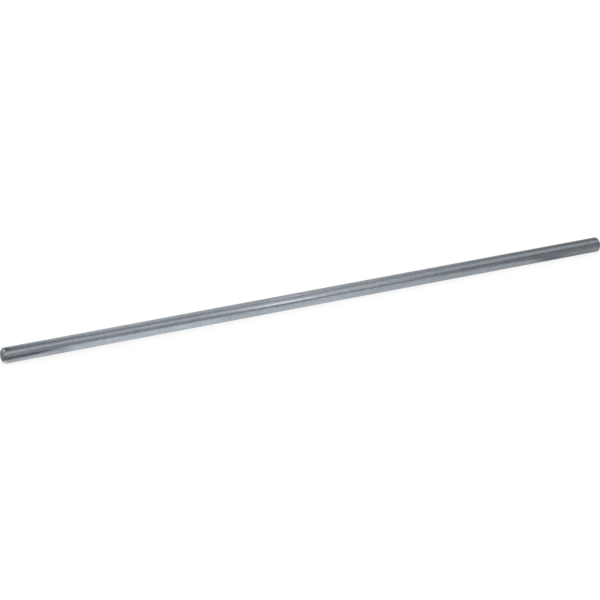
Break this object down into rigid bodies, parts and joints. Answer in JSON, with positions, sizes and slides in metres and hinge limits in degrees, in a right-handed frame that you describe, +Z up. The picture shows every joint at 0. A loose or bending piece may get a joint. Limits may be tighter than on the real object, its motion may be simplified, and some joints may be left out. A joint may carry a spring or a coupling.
{
  "type": "switch shaft extension",
  "caption": "Plain round steel extension shaft, chamfered at both ends, that carries the turn of a door-mounted handle back to a switch inside its cabinet.",
  "frame": {"origin": "on the bar's axis, halfway between its two end faces", "axes": "+X along the bar from the switch end to the handle end, +Z up as the bar lies"},
  "size_m": [0.535, 0.012, 0.012],
  "materials": {
    "plated_steel": "bright drawn steel bar with thin blue-white zinc plating"
  },
  "bodies": {
    "root": {"shaft": "plated_steel"}
  },
  "joints": []
}
